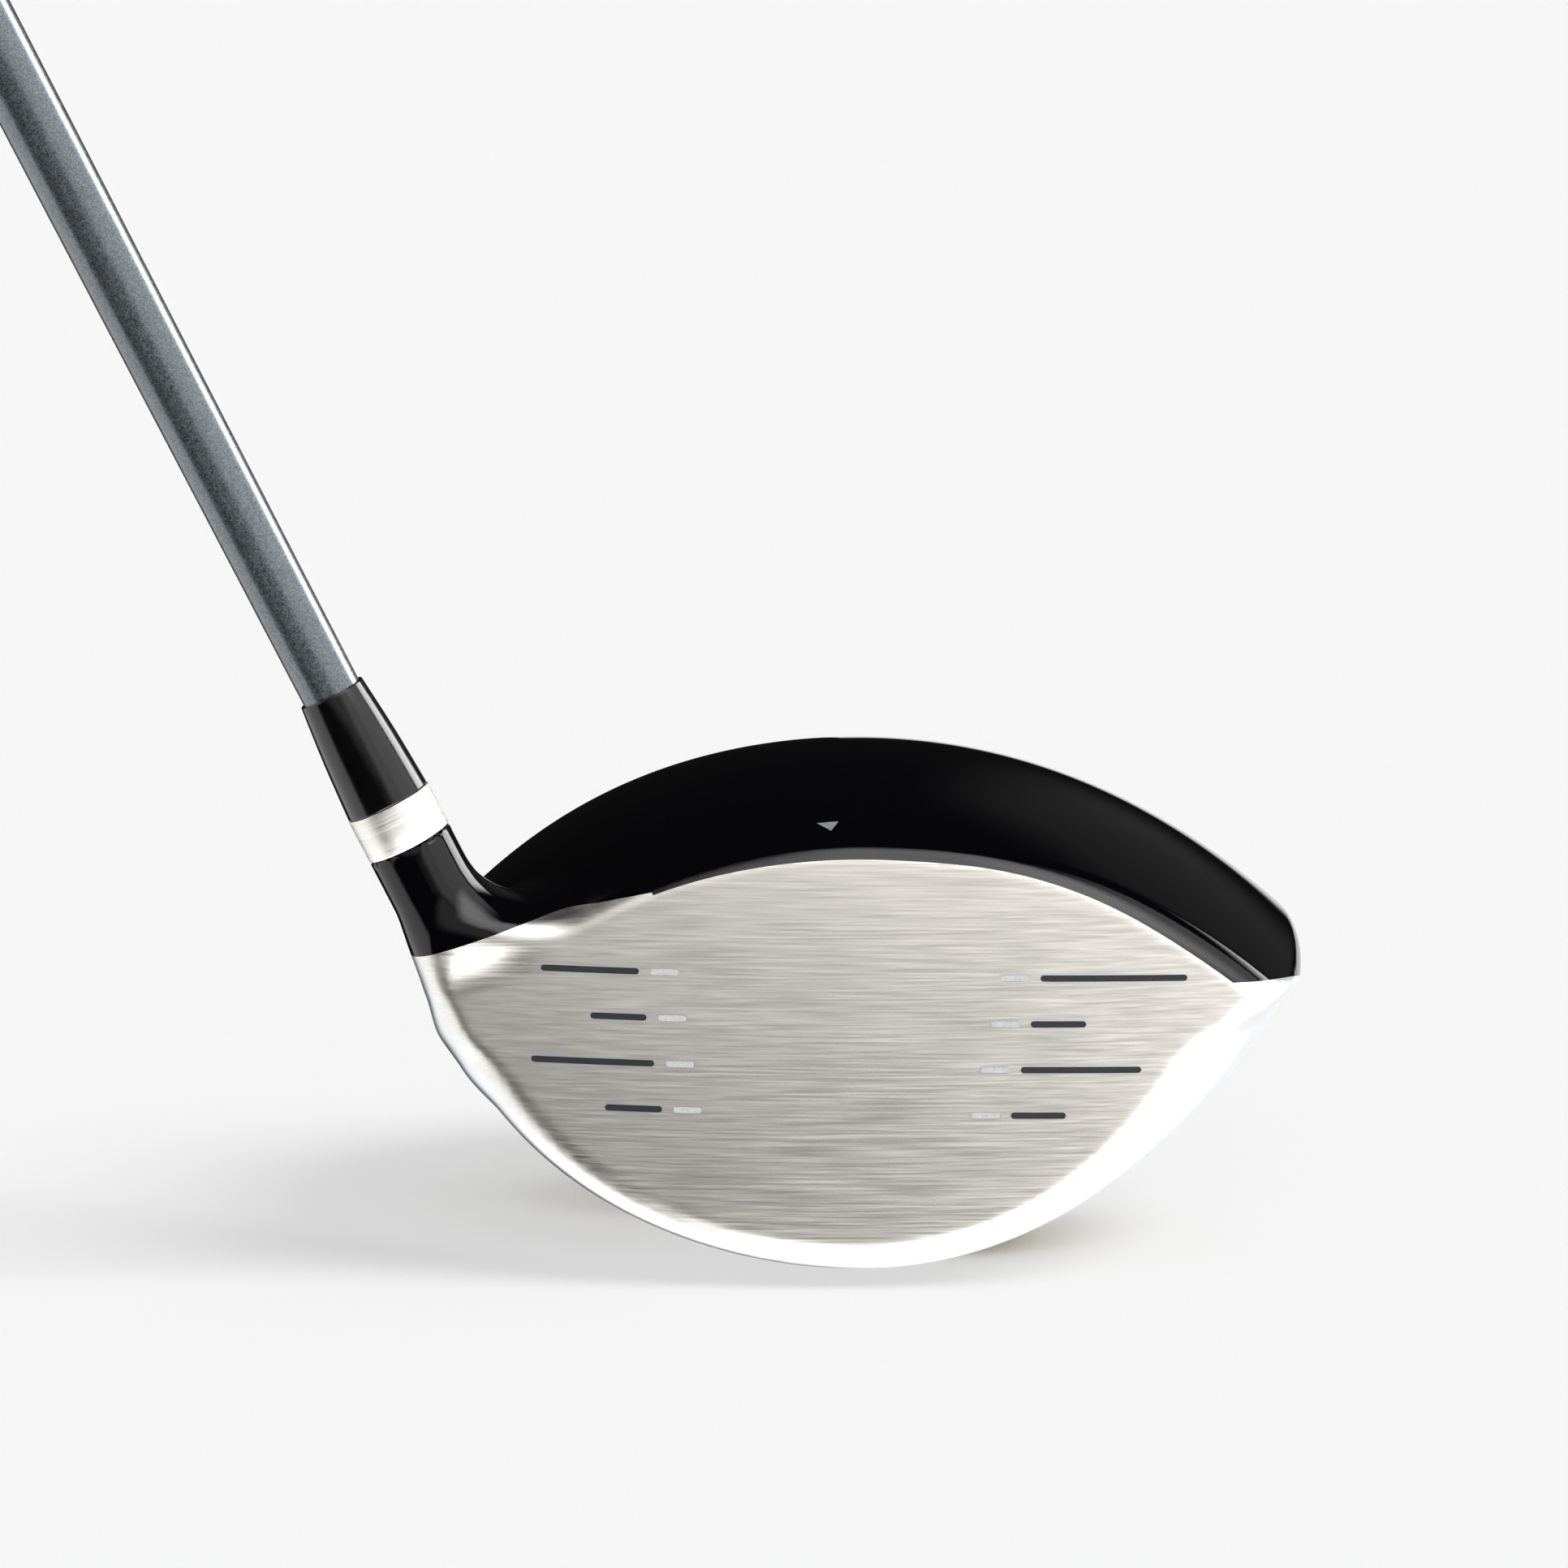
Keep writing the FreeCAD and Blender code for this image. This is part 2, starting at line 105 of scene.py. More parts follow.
def slope(surface, x, y):
    """Length of the normal of z = surface(x, y), to turn a height into a distance."""
    step = 0.01
    along_x = (surface(x + step, y) - surface(x - step, y)) / (2 * step)
    along_y = (surface(x, y + step) - surface(x, y - step)) / (2 * step)
    return np.sqrt(1 + along_x ** 2 + along_y ** 2)


def round_max(a, b, radius):
    """Where both solids are, with their edge rounded."""
    corner = np.hypot(np.maximum(a + radius, 0), np.maximum(b + radius, 0))
    return np.minimum(-radius, np.maximum(a, b)) + corner


def round_min(a, b, radius):
    """Where either solid is, with a fillet in the corner."""
    corner = np.hypot(np.maximum(radius - a, 0), np.maximum(radius - b, 0))
    return np.maximum(radius, np.minimum(a, b)) - corner


def axis_place(p):
    """Distance along the shaft's axis from the ground, and distance from the axis."""
    rel = p - AXIS_FOOT
    along = rel @ AXIS
    return along, np.linalg.norm(rel - along[:, None] * AXIS, axis=1)


def crown_distance(p):
    x, y, z = p.T
    return (z - crown_z(x, y)) / slope(crown_z, x, y)


def sole_distance(p):
    x, y, z = p.T
    return (sole_z(x, y) - z) / slope(sole_z, x, y)


def hosel_distance(p):
    along, away = axis_place(p)
    radius = np.interp(along, *HEEL_PROFILE)
    barrel = np.hypot(away, np.maximum(HEEL_PROFILE[0][0] - along, 0)) - radius
    return np.maximum(barrel, along - NECK_TOP)


def soft_radius(x):
    return LEADING_RADIUS + np.where(x < 0, HEEL_RADIUS, TOE_RADIUS) * np.minimum(np.abs(x) / 57.0, 1.15) ** 4


def lip_radius(x):
    return TOP_EDGE_RADIUS + (TOE_EDGE_RADIUS - TOP_EDGE_RADIUS) * smooth((x - 15) / 35)


def head_distance(p):
    """Rough distance from the head's outside, negative inside."""
    x, y, z = p.T
    crown, sole = crown_distance(p), sole_distance(p)
    face = (face_y(x, z) - y) * math.cos(LOFT)
    blend = NECK_BLEND[0] + (NECK_BLEND[1] - NECK_BLEND[0]) * smooth((z - 36) / 12)
    body = round_min(round_max(crown, sole, RIM_RADIUS), hosel_distance(p), blend)
    # Near its axis, from the paint's edge up, the neck stands out in front of the face.
    rise, away = z - np.interp(x, *HEEL_LINE), axis_place(p)[1]
    face = face - NECK_STANDS_OUT * smooth((rise + 8) / 20) * smooth((17 - away) / 11)
    upper = smooth((crown - sole + 6) / 12)
    return round_max(body, face, lip_radius(x) * upper + soft_radius(x) * (1 - upper))


def gradient(field, p, step=0.02):
    out = np.empty_like(p)
    for k in range(3):
        move = np.zeros(3)
        move[k] = step
        out[:, k] = (field(p + move) - field(p - move)) / (2 * step)
    return out


def onto(field, p, rounds=6):
    """Move points to where the field is zero."""
    for _ in range(rounds):
        g = gradient(field, p)
        step = field(p) / np.maximum((g ** 2).sum(1), 0.1)
        p = p - g * np.clip(step, -0.6, 0.6)[:, None]
    return p


def net(field, low, high, pitch):
    """A mesh of quads over field = 0: one vertex in each grid cell that the surface crosses."""
    axes = [np.arange(a, b + pitch, pitch) for a, b in zip(low, high)]
    shape = tuple(len(a) for a in axes)
    grid = np.stack(np.meshgrid(*axes, indexing="ij"), -1).reshape(-1, 3)
    value = np.concatenate([field(part) for part in np.array_split(grid, 24)]).reshape(shape)
    inside = value < 0
    cells = tuple(n - 1 for n in shape)
    total = np.zeros(cells + (3,))
    count = np.zeros(cells)
    quads = []
    for k in range(3):
        near = [slice(None)] * 3
        far = [slice(None)] * 3
        near[k], far[k] = slice(0, -1), slice(1, None)
        a, b = value[tuple(near)], value[tuple(far)]
        cross = (inside[tuple(near)] != inside[tuple(far)])
        i = np.argwhere(cross)
        t = (a[cross] / (a[cross] - b[cross]))
        point = i.astype(float)
        point[:, k] += t
        u, v = [n for n in range(3) if n != k]
        ring = []
        for du, dv in ((0, 0), (1, 0), (1, 1), (0, 1)):
            cell = i.copy()
            cell[:, u] -= du
            cell[:, v] -= dv
            np.add.at(total, tuple(cell.T), point)
            np.add.at(count, tuple(cell.T), 1)
            ring.append(cell)
        outward = inside[tuple(near)][cross] ^ (k == 1)
        quads.append((ring, outward))
    used = count > 0
    number = np.full(cells, -1)
    number[used] = np.arange(used.sum())
    verts = np.array(low) + total[used] / count[used][:, None] * pitch
    faces = []
    for ring, outward in quads:
        corner = np.stack([number[tuple(cell.T)] for cell in ring], 1)
        corner[~outward] = corner[~outward][:, ::-1]
        faces.append(corner)
    return verts, np.concatenate(faces)


def cut(verts, faces, side):
    """Split polygons along side = 0. Returns the vertices and the polygons on each side."""
    value = side(verts)
    verts = list(map(tuple, verts))
    new = {}
    positive, negative = [], []
    crossing = []
    for poly in faces:
        signs = [value[v] >= 0 for v in poly]
        if all(signs):
            positive.append(list(poly))
        elif not any(signs):
            negative.append(list(poly))
        else:
            crossing.append(list(poly))
    edges = sorted({tuple(sorted((a, b))) for poly in crossing for a, b in zip(poly, poly[1:] + poly[:1])
                    if (value[a] >= 0) != (value[b] >= 0)})
    if edges:
        base = np.array(verts)
        pair = np.array(edges)
        low, high = np.zeros(len(pair)), np.ones(len(pair))
        start, end = base[pair[:, 0]], base[pair[:, 1]]
        first = value[pair[:, 0]] >= 0
        for _ in range(18):
            mid = (low + high) / 2
            same = (side(onto(head_distance, start + (end - start) * mid[:, None], 2)) >= 0) == first
            low, high = np.where(same, mid, low), np.where(same, high, mid)
        made = onto(head_distance, start + (end - start) * ((low + high) / 2)[:, None], 3)
        for key, point in zip(edges, made):
            new[key] = len(verts)
            verts.append(tuple(point))
    for poly in crossing:
        parts = {True: [], False: []}
        for a, b in zip(poly, poly[1:] + poly[:1]):
            here, there = value[a] >= 0, value[b] >= 0
            parts[here].append(a)
            if here != there:
                middle = new[tuple(sorted((a, b)))]
                parts[here].append(middle)
                parts[there].append(middle)
        for sign, keep in ((True, positive), (False, negative)):
            if len(parts[sign]) > 2:
                keep.append(parts[sign])
    return np.array(verts), positive, negative


# ------------------------------------------------------------------ seams
# y, z of the crown's edge
SEAM = ((-15, 4, 14, 25, 36, 75, 125), (41.5, 41.2, 40.4, 38.6, 36.2, 27.5, 14))
NECK_PIECE = (40.0, 13.5)                                       # start up the axis, and radius
WEIGHT_XY = (2.0, 86.0)
PORT_RADIUS = 11.5


def smooth_curve(at, places, values):
    """A cubic through the places, with the slopes of its neighbours."""
    places, values = np.array(places, float), np.array(values, float)
    slopes = np.gradient(values, places)
    k = np.clip(np.searchsorted(places, at) - 1, 0, len(places) - 2)
    width = places[k + 1] - places[k]
    t = np.clip((at - places[k]) / width, 0, 1)
    return ((2 * t ** 3 - 3 * t ** 2 + 1) * values[k] + (t ** 3 - 2 * t ** 2 + t) * width * slopes[k]
            + (3 * t ** 2 - 2 * t ** 3) * values[k + 1] + (t ** 3 - t ** 2) * width * slopes[k + 1])


def seam_z(x, y):
    low = smooth_curve(y, *SEAM)
    heel = np.interp(x, *HEEL_LINE)
    return low + (heel - low) * smooth((34 - y) / 14)


def black_side(p):
    """Positive where the head is painted black."""
    x, y, z = p.T
    face = (face_y(x, z) - y) * math.cos(LOFT)
    crown = np.minimum(crown_distance(p) - face + 0.75 * lip_radius(x), z - smooth_curve(y, *SEAM))
    heel = z - seam_z(x, y)
    return np.where(x < -47.0, heel, np.where(x < -29.0, np.minimum(heel, crown), crown))


def front_side(p):
    """Positive on the face, negative on the sole and skirt."""
    x, y, z = p.T
    return (face_y(x, z) - y) * math.cos(LOFT) - sole_distance(p)


def neck_side(p):
    along, away = axis_place(p)
    return np.minimum(NECK_PIECE[1] - away, along - NECK_PIECE[0])


def weight_axis():
    x, y = WEIGHT_XY
    foot = np.array([x, y, float(sole_z(np.array(x), np.array(y)))])
    outward = np.array([0, 2 * SOLE_FORE_AFT * (y - SOLE_CONTACT_Y), -1])
    return foot, outward / np.linalg.norm(outward)


def port_side(p):
    """Positive outside the weight's port."""
    foot, outward = weight_axis()
    rel = p - foot
    away = np.linalg.norm(rel - (rel @ outward)[:, None] * outward, axis=1)
    return np.where(rel @ outward > -25, away - PORT_RADIUS, 9.0)


# ------------------------------------------------------------------ mesh helpers
def row(points):
    """Head millimetres to the frame's metres."""
    return np.asarray(points, float) * MM + HEAD_ORIGIN


def add_mesh(name, verts, faces, body="club", sharp=35, nodes=(), finish=None, slot=None):
    """A piece made from points in the frame's metres."""
    mesh = bpy.data.meshes.new(name)
    mesh.from_pydata([tuple(v) for v in verts], [], [tuple(int(k) for k in f) for f in faces])
    mesh.validate()
    mesh.shade_smooth()
    if sharp:
        mesh.set_sharp_from_angle(angle=math.radians(sharp))
    piece = bpy.data.objects.new(name, mesh)
    bpy.context.collection.objects.link(piece)
    if finish:
        mesh.materials.append(finish)
    if body:
        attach(piece, body)
    if nodes:
        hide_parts(*nodes)
    return piece


def compact(verts, faces):
    used = sorted({v for f in faces for v in f})
    index = {v: k for k, v in enumerate(used)}
    return verts[used], [[index[v] for v in f] for f in faces]


def shell(verts, faces, wall):
    """Close a sheet of polygons on the head's outside into a wall of that thickness."""
    verts, faces = compact(verts, faces)
    normal = gradient(head_distance, verts)
    normal /= np.linalg.norm(normal, axis=1)[:, None]
    count = len(verts)
    edges = {}
    for f in faces:
        for a, b in zip(f, f[1:] + f[:1]):
            edges[(a, b)] = True
    rim = [(a, b) for a, b in edges if (b, a) not in edges]
    inner = [[v + count for v in reversed(f)] for f in faces]
    sides = [[b, a, a + count, b + count] for a, b in rim]
    return np.concatenate([verts, verts - normal * wall]), faces + inner + sides


# Frame of the shaft: a straight line up the axis, with one direction to the toe side.
OUT = np.array([AXIS[2], 0, -AXIS[0]])
BACK = np.array([0.0, 1.0, 0.0])


def lathe(profile, segments, ripple=None):
    """Closed surface of revolution about the shaft's axis: profile is (distance up it, radius) in mm."""
    profile = np.array(profile, float)
    turn = np.linspace(0, 2 * math.pi, segments, endpoint=False)
    radius = np.repeat(profile[:, 1][:, None], segments, 1)
    if ripple:
        radius = radius + ripple(profile[:, 0][:, None], turn[None, :])
    ring = radius[..., None] * (np.cos(turn)[:, None] * OUT + np.sin(turn)[:, None] * BACK)
    points = AXIS_FOOT + profile[:, 0][:, None, None] * AXIS + ring
    count = len(profile)
    index = np.arange(count * segments).reshape(count, segments)
    a, b = index, np.roll(index, -1, 1)
    c, d = np.roll(b, -1, 0), np.roll(a, -1, 0)
    quads = np.stack([a, b, c, d], -1).reshape(-1, 4)
    return row(points.reshape(-1, 3)), quads


def rounded(corners, radius, steps=5):
    """A closed outline with its corners rounded, as a list of (distance, radius)."""
    out = []
    count = len(corners)
    for k in range(count):
        before, here, after = (np.array(corners[(k + n) % count], float) for n in (-1, 0, 1))
        r = radius[k] if isinstance(radius, (list, tuple)) else radius
        if r <= 0:
            out.append(tuple(here))
            continue
        u, v = before - here, after - here
        r = min(r, 0.45 * np.linalg.norm(u), 0.45 * np.linalg.norm(v))
        p, q = here + u / np.linalg.norm(u) * r, here + v / np.linalg.norm(v) * r
        for t in np.linspace(0, 1, steps):
            out.append(tuple((1 - t) ** 2 * p + 2 * t * (1 - t) * here + t * t * q))
    return out


# ------------------------------------------------------------------ materials
class Finish:
    """A node material on a Principled shader, with small helpers for its patterns."""

    def __init__(self, name, color, **values):
        self.material = bpy.data.materials.new(name)
        self.material.use_nodes = True
        self.nodes = self.material.node_tree.nodes
        self.links = self.material.node_tree.links
        self.shader = self.nodes["Principled BSDF"]
        self.shader.inputs["Base Color"].default_value = (*color, 1)
        self.color = color
        for key, value in values.items():
            self.shader.inputs[key.replace("_", " ").title().replace("Ior", "IOR")].default_value = value
        self.place = self.nodes.new("ShaderNodeTexCoord").outputs["Object"]
        self.height = None

    def mapped(self, scale=(1, 1, 1), turn=0.0):
        """Object coordinates, first turned about Y and then stretched."""
        at = self.place
        if turn:
            first = self.nodes.new("ShaderNodeMapping")
            first.inputs["Rotation"].default_value = (0, turn, 0)
            self.links.new(at, first.inputs["Vector"])
            at = first.outputs["Vector"]
        second = self.nodes.new("ShaderNodeMapping")
        second.inputs["Scale"].default_value = scale
        self.links.new(at, second.inputs["Vector"])
        return second.outputs["Vector"]

    def noise(self, scale, stretch=(1, 1, 1), detail=4.0, turn=0.0, rough=0.5):
        node = self.nodes.new("ShaderNodeTexNoise")
        node.inputs["Scale"].default_value = scale
        node.inputs["Detail"].default_value = detail
        node.inputs["Roughness"].default_value = rough
        self.links.new(self.mapped(stretch, turn), node.inputs["Vector"])
        return node.outputs["Fac"]

    def flakes(self, scale):
        node = self.nodes.new("ShaderNodeTexVoronoi")
        node.inputs["Scale"].default_value = scale
        self.links.new(self.mapped(), node.inputs["Vector"])
        spread = self.nodes.new("ShaderNodeSeparateColor")
        self.links.new(node.outputs["Color"], spread.inputs[0])
        return spread.outputs[0]

    def attribute(self, name):
        node = self.nodes.new("ShaderNodeAttribute")
        node.attribute_name = name
        return node.outputs["Fac"]

    def spread(self, value, low, high, start=0.3, end=0.7):
        node = self.nodes.new("ShaderNodeMapRange")
        for key, number in (("From Min", start), ("From Max", end), ("To Min", low), ("To Max", high)):
            node.inputs[key].default_value = number
        self.links.new(value, node.inputs["Value"])
        return node.outputs["Result"]

    def mix(self, share, a, b):
        """Colour or socket a where share is 0, b where it is 1."""
        node = self.nodes.new("ShaderNodeMix")
        node.data_type = "RGBA"
        self.links.new(share, node.inputs[0])
        for socket, value in ((node.inputs[6], a), (node.inputs[7], b)):
            if isinstance(value, tuple):
                socket.default_value = (*value, 1)
            else:
                self.links.new(value, socket)
        return node.outputs[2]

    def mix_value(self, share, a, b):
        node = self.nodes.new("ShaderNodeMix")
        self.links.new(share, node.inputs[0])
        for socket, value in ((node.inputs[2], a), (node.inputs[3], b)):
            if isinstance(value, (int, float)):
                socket.default_value = value
            else:
                self.links.new(value, socket)
        return node.outputs[0]

    def set(self, key, value):
        self.links.new(value, self.shader.inputs[key])

    def bump(self, value, strength, depth):
        """Adds a layer of relief; depth is in metres."""
        node = self.nodes.new("ShaderNodeBump")
        node.inputs["Strength"].default_value = strength
        node.inputs["Distance"].default_value = depth
        self.links.new(value, node.inputs["Height"])
        if self.height:
            self.links.new(self.height, node.inputs["Normal"])
        self.height = node.outputs["Normal"]
        self.links.new(self.height, self.shader.inputs["Normal"])


def shades(color, low, high):
    return tuple(c * low for c in color), tuple(c * high for c in color)


LIE_TURN = math.atan2(-AXIS[0], AXIS[2])      # turns the shaft's axis upright


def titanium(name):
    """Brushed on the face, fine satin on the skirt and sole, running softly into each other."""
    warm, cool = (0.92, 0.885, 0.82), (0.90, 0.92, 0.95)
    finish = Finish(name, warm, metallic=1.0)
    face = finish.attribute("face")
    streaks = finish.noise(1.0, (80, 900, 3600), 3)
    fine = finish.noise(1.0, (140, 3000, 14000), 2)
    cloud = finish.noise(38, detail=3)
    grain = finish.noise(5200, detail=2)
    low, high = shades(warm, 0.88, 1.08)
    brushed = finish.mix(finish.spread(streaks, 0, 1), low, high)
    low, high = shades(cool, 0.96, 1.02)
    satin = finish.mix(finish.spread(cloud, 0, 1), low, high)
    finish.set("Base Color", finish.mix(face, satin, brushed))
    rough_face = finish.spread(streaks, 0.32, 0.42)
    rough_skirt = finish.spread(cloud, 0.27, 0.33)
    finish.set("Roughness", finish.mix_value(face, rough_skirt, rough_face))
    finish.bump(finish.mix_value(face, grain, streaks), 0.22, 0.00003)
    finish.bump(finish.mix_value(face, grain, fine), 0.18, 0.00002)
    return finish.material


def bare_titanium(name, color=(0.42, 0.41, 0.39)):
    finish = Finish(name, color, metallic=1.0)
    finish.set("Base Color", finish.mix(finish.spread(finish.noise(260), 0, 1), *shades(color, 0.8, 1.1)))
    finish.set("Roughness", finish.spread(finish.noise(900, detail=5), 0.42, 0.6))
    finish.bump(finish.noise(3500), 0.3, 0.00003)
    return finish.material


def lacquer(name):
    color = (0.0014, 0.0014, 0.0019)
    finish = Finish(name, color, roughness=0.32, specular_ior_level=0.0, coat_weight=1.0,
                    coat_roughness=0.035, coat_ior=1.5)
    finish.set("Base Color", finish.mix(finish.spread(finish.noise(9000), 0, 1), *shades(color, 0.7, 1.6)))
    finish.set("Roughness", finish.spread(finish.noise(420), 0.28, 0.36))
    finish.bump(finish.noise(300, detail=2), 0.05, 0.00002)
    return finish.material


def gloss_plastic(name):
    color = (0.0022, 0.0022, 0.0026)
    finish = Finish(name, color, roughness=0.15, specular_ior_level=0.5, coat_weight=0.4, coat_roughness=0.08)
    finish.set("Base Color", finish.mix(finish.spread(finish.noise(700), 0, 1), *shades(color, 0.8, 1.3)))
    finish.set("Roughness", finish.spread(finish.noise(1200), 0.11, 0.2))
    finish.bump(finish.noise(1.0, (300, 300, 5000), 2, LIE_TURN), 0.06, 0.00001)
    return finish.material


def turned_metal(name, color, rough=(0.2, 0.34), turn=LIE_TURN, lines=9000):
    """Metal with the fine rings that a lathe leaves about its axis."""
    finish = Finish(name, color, metallic=1.0)
    rings = finish.noise(1.0, (60, 60, lines), 2, turn)
    finish.set("Base Color", finish.mix(finish.spread(rings, 0, 1), *shades(color, 0.88, 1.04)))
    finish.set("Roughness", finish.spread(rings, *rough))
    finish.bump(rings, 0.25, 0.00002)
    return finish.material


def paint(name):
    """Blue-grey metallic paint under a clear coat."""
    color = (0.150, 0.170, 0.184)
    finish = Finish(name, color, metallic=0.85, coat_weight=0.6, coat_roughness=0.08)
    flakes = finish.flakes(6500)
    finish.set("Base Color", finish.mix(flakes, *shades(color, 0.70, 1.45)))
    finish.set("Roughness", finish.spread(flakes, 0.24, 0.36, 0, 1))
    finish.bump(finish.noise(900), 0.04, 0.00001)
    return finish.material


def rubber(name):
    color = (0.022, 0.022, 0.023)
    finish = Finish(name, color, specular_ior_level=0.4, sheen_weight=0.05)
    cloud = finish.spread(finish.noise(120, detail=6), 0, 1)
    finish.set("Base Color", finish.mix(cloud, *shades(color, 0.7, 1.4)))
    finish.set("Roughness", finish.spread(finish.noise(1500), 0.62, 0.82))
    finish.bump(finish.noise(5500, detail=3), 0.4, 0.00005)
    return finish.material


def ink(name, color):
    finish = Finish(name, color, specular_ior_level=0.4)
    finish.set("Base Color", finish.mix(finish.spread(finish.noise(2500), 0, 1), *shades(color, 0.85, 1.1)))
    finish.set("Roughness", finish.spread(finish.noise(1800), 0.45, 0.65))
    finish.bump(finish.noise(6000), 0.2, 0.00002)
    return finish.material


def cast(name, color, metallic=0.0, rough=(0.4, 0.6), scale=900, depth=0.00004):
    """Plain moulded, cast or poured stuff, for what is hidden inside."""
    finish = Finish(name, color, metallic=metallic)
    cloud = finish.spread(finish.noise(scale / 3), 0, 1)
    finish.set("Base Color", finish.mix(cloud, *shades(color, 0.8, 1.15)))
    finish.set("Roughness", finish.spread(finish.noise(scale), *rough))
    finish.bump(finish.noise(scale * 3), 0.3, depth)
    return finish.material


TITANIUM = titanium("titanium")
LACQUER = lacquer("black_lacquer")
PLASTIC = gloss_plastic("gloss_plastic")
RING_METAL = turned_metal("brushed_ring", (0.95, 0.92, 0.88), (0.36, 0.5))
SHAFT_PAINT = paint("shaft_paint")
RUBBER = rubber("grip_rubber")
DARK_INK = ink("dark_ink", (0.020, 0.022, 0.024))
WHITE_INK = ink("white_ink", (0.62, 0.62, 0.61))
GREY_INK = ink("grey_ink", (0.24, 0.25, 0.26))

# ------------------------------------------------------------------ the head
verts, quads = net(head_distance, (-74, -12, -2), (70, 114, 74), CELL)
verts = onto(head_distance, verts)
verts, black, metal = cut(verts, quads.tolist(), black_side)
verts, neck, crown = cut(verts, black, neck_side)
verts, face, sole = cut(verts, metal, front_side)
verts, sole, _ = cut(verts, sole, port_side)


def head_piece(name, faces, wall, **facts):
    points, polygons = shell(verts, faces, wall)
    piece = add_mesh(name, row(points), polygons, **facts)
    outside = np.clip(0.5 + front_side(points) / 9, 0, 1)
    share = piece.data.attributes.new("face", "FLOAT", "POINT")
    share.data.foreach_set("value", smooth(outside)[:len(piece.data.vertices)].astype(np.float32))
    piece.visible_diffuse = False             # thrown-back light would wash out its shadow on the floor
    return piece


head_piece("crown", crown, WALL, nodes=["crown_shell"], finish=LACQUER, slot="black_lacquer")
head_piece("neck", neck, WALL, nodes=["hosel_neck"], finish=LACQUER, slot="black_lacquer")
head_piece("sole", sole, WALL, nodes=["sole_shell"], finish=TITANIUM, slot="satin_titanium")
face_piece = head_piece("face", face, 1.6, nodes=["face_plate"], finish=TITANIUM, slot="brushed_titanium")

# ------------------------------------------------------------------ score lines
TOP_ROW_Z, ROW_PITCH, ROWS = 42.6, 6.2, 4
SCORE_HALF, INK_DEPTH = 0.4, 0.4
SCORE_SIDES = (
    {"start": 19.3, "step": -1.37, "white": 4.0, "gap": 1.5, "dark": (20.4, 7.7, 16.7, 7.6)},
    {"start": -25.3, "step": 1.07, "white": -3.9, "gap": -1.6, "dark": (-13.6, -7.8, -17.1, -7.9)},
)


def bar(start, end, height, half, proud, depth):
    """A round-ended bar that follows the face, from proud of it to a depth behind it."""
    left, right = min(start, end), max(start, end)
    turn = np.linspace(0, math.pi / 2, 6)
    close = half * (1 - np.cos(turn))
    stations = np.concatenate([left + close, np.linspace(left + half, right - half, 24)[1:-1],
                               right - close[::-1]])
    reach = np.concatenate([half * np.sin(turn), np.full(22, half), half * np.sin(turn[::-1])])
    reach = np.maximum(reach, 0.05)
    points, faces = [], []
    for x, r in zip(stations, reach):
        for rise, back in ((-r, -proud), (0, -proud), (r, -proud), (r, depth), (0, depth), (-r, depth)):
            turned_z = height + rise - math.tan(SCORING_TILT) * x
            points.append((x, float(face_y(x, turned_z)) + back, turned_z))
    for k in range(len(stations) - 1):
        for n in range(6):
            a, b = 6 * k + n, 6 * k + (n + 1) % 6
            faces.append((a, a + 6, b + 6, b))
    last = 6 * (len(stations) - 1)
    faces += [(0, 1, 2, 3, 4, 5), tuple(last + n for n in reversed(range(6)))]
    return points, faces


def bars(colour, half, proud, depth):
    points, faces = [], []
    for side in SCORE_SIDES:
        for n in range(ROWS):
            start = side["start"] + n * side["step"]
            end = start + side["white"]
            if colour == "dark":
                start = end + side["gap"]
                end = start + side["dark"][n]
            more, polygons = bar(start, end, TOP_ROW_Z - n * ROW_PITCH, half, proud, depth)
            faces += [tuple(k + len(points) for k in f) for f in polygons]
            points += more
    return np.array(points), faces


def carve(piece, points, faces):
    """Cut a closed solid out of a piece for good."""
    tool = add_mesh("tool", row(points), faces, body=None, sharp=0)
    cutter = piece.modifiers.new("carve", "BOOLEAN")
    cutter.operation, cutter.object, cutter.solver = "DIFFERENCE", tool, "EXACT"
    ready = piece.evaluated_get(bpy.context.evaluated_depsgraph_get())
    mesh = bpy.data.meshes.new_from_object(ready)
    piece.modifiers.clear()
    piece.data = mesh
    bpy.data.objects.remove(tool)


for colour in ("dark", "white"):
    carve(face_piece, *bars(colour, SCORE_HALF + 0.03, 1.0, INK_DEPTH + 0.02))
face_piece.data.set_sharp_from_angle(angle=math.radians(35))
add_mesh("score_ink_dark_fill", row(bars("dark", SCORE_HALF, -0.12, INK_DEPTH)[0]), bars("dark", 1, 0, 1)[1],
         nodes=["score_ink_dark"], finish=DARK_INK, slot="dark_ink")
white_points, white_faces = bars("white", SCORE_HALF, -0.03, INK_DEPTH)
add_mesh("score_ink_white_fill", row(white_points), white_faces,
         nodes=["score_ink_white"], finish=WHITE_INK, slot="white_ink")

# ------------------------------------------------------------------ alignment mark on the crown
MARK = np.array(((-6.1, 14.0), (-3.15, 14.2), (-4.15, 12.0)))


def mark_mesh(rows=8):
    """A triangle that lies on the crown like a print, a hair proud of it."""
    points, faces, index = [], [], {}
    for i in range(rows + 1):
        for j in range(rows + 1 - i):
            a, b = i / rows, j / rows
            index[i, j] = len(points)
            points.append(MARK[0] * (1 - a - b) + MARK[1] * a + MARK[2] * b)
    for i in range(rows):
        for j in range(rows - i):
            faces.append((index[i, j], index[i + 1, j], index[i, j + 1]))
            if i + j < rows - 1:
                faces.append((index[i + 1, j], index[i + 1, j + 1], index[i, j + 1]))
    flat = np.array(points)
    top = np.column_stack([flat, crown_z(*flat.T) + 0.03])
    return top, faces


